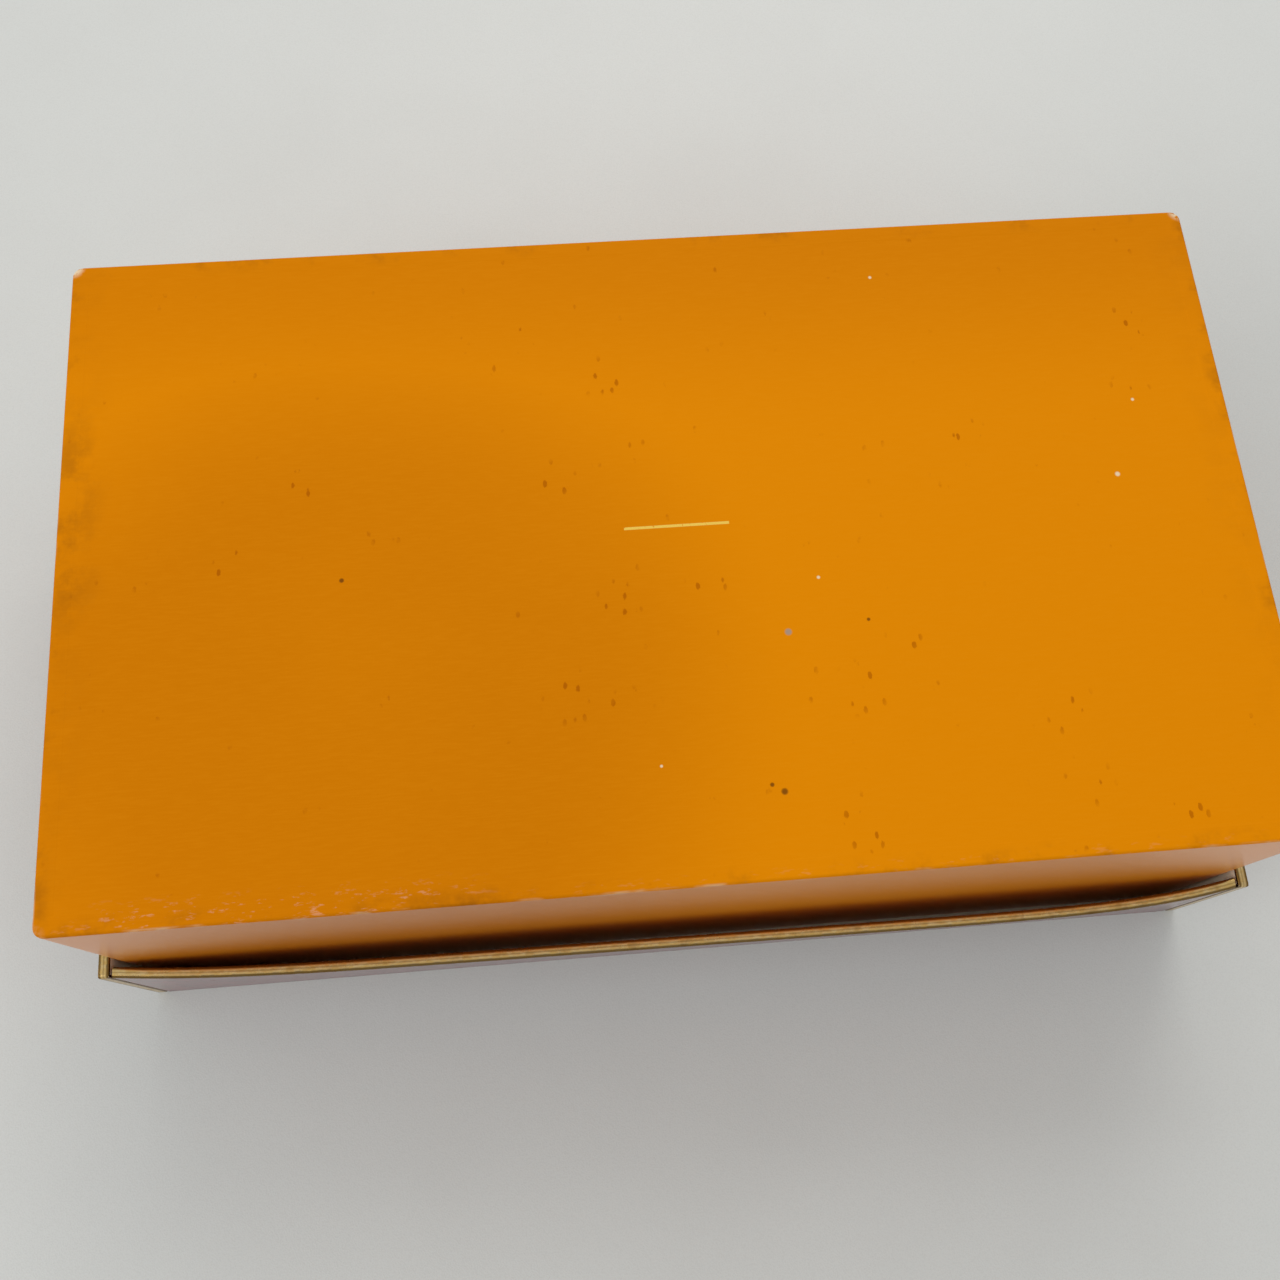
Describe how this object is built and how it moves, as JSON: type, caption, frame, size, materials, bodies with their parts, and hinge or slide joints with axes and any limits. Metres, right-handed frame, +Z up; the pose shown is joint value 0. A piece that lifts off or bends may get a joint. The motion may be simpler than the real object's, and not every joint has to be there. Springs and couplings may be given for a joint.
{
  "type": "jack in the box",
  "caption": "Paper-covered oblong case hinged to a gold-edged lid with a magnetic front flap, holding a spring jack, upside down and shut.",
  "frame": {"origin": "on the floor under the middle of the whole box, which lies upside down and shut on its lid", "axes": "+X along the box to the right, -Y the front with the flap, +Z up through the case's upturned bottom"},
  "size_m": [0.336, 0.201, 0.113],
  "materials": {
    "greyboard": "pressed grey board",
    "orange_paper": "satin coated paper, scuffed",
    "burgundy_paper": "glossy coated paper",
    "cream_lining": "plain uncoated paper",
    "gold_foil": "metallised gold foil paper",
    "hinge_cloth": "fine bookbinding cloth",
    "bright_steel": "plated steel",
    "spring_steel": "drawn spring wire",
    "beech": "sanded beech",
    "gown_cloth": "pleated cotton",
    "sleeve_cloth": "cotton",
    "ruff_cloth": "stiffened cotton",
    "skin_paint": "painted beech, satin",
    "black_paint": "gloss enamel",
    "red_paint": "gloss enamel",
    "blush_paint": "satin enamel",
    "hair_wool": "curled wool",
    "hat_felt": "wool felt",
    "points_felt": "wool felt",
    "band_braid": "gold braid",
    "bell_brass": "polished"
  },
  "bodies": {
    "lid": {"lid_board": "greyboard", "lid_wall_left": "greyboard", "lid_wall_right": "greyboard", "lid_face_paper": "burgundy_paper", "lid_side_papers": "burgundy_paper", "lid_lining": "cream_lining", "lid_rim_trims": "gold_foil", "lid_hinge_cloth": "hinge_cloth"},
    "flap": {"flap_board": "greyboard", "flap_face_paper": "burgundy_paper", "flap_lining": "cream_lining", "flap_rim_trim": "gold_foil", "flap_magnets": "bright_steel"},
    "case": {"case_bottom_board": "greyboard", "case_front_board": "greyboard", "case_back_board": "greyboard", "case_left_board": "greyboard", "case_right_board": "greyboard", "case_paper": "orange_paper", "case_lining": "cream_lining", "case_hinge_cloth": "hinge_cloth", "strike_plates": "bright_steel", "mount_block": "beech", "block_screws": "bright_steel", "lower_staples": "bright_steel", "spring": "spring_steel", "gown": "gown_cloth"},
    "jack": {"shoulder_plate": "beech", "upper_staples": "bright_steel", "neck_dowel": "beech", "ruff": "ruff_cloth", "head": "skin_paint", "eyes": "black_paint", "nose": "red_paint", "cheeks": "blush_paint", "mouth": "red_paint", "hair": "hair_wool", "hat": "hat_felt", "hat_points": "points_felt", "hat_band": "band_braid", "hat_bells": "bell_brass", "arm_dowels": "beech", "sleeves": "sleeve_cloth", "cuffs": "ruff_cloth", "hands": "skin_paint"}
  },
  "joints": [
    {"name": "flap_hinge", "type": "hinge", "parent": "lid", "child": "flap", "pos_m": [0, -0.09551, 0.0003], "axis": [1, 0, 0], "range_deg": [0, 84]},
    {"name": "case_hinge", "type": "hinge", "parent": "lid", "child": "case", "pos_m": [0, 0.10014, 0.00315], "axis": [-1, 0, 0], "range_deg": [0, 90]},
    {"name": "jack_rise", "type": "slide", "parent": "case", "child": "jack", "axis": [0, 0, -1], "range_m": [0, 0.13], "deforming": ["spring", "gown"]}
  ],
  "couplings": [
    {"joint": "jack_rise", "follows": "case_hinge", "m_per_rad": 0.0827}
  ]
}
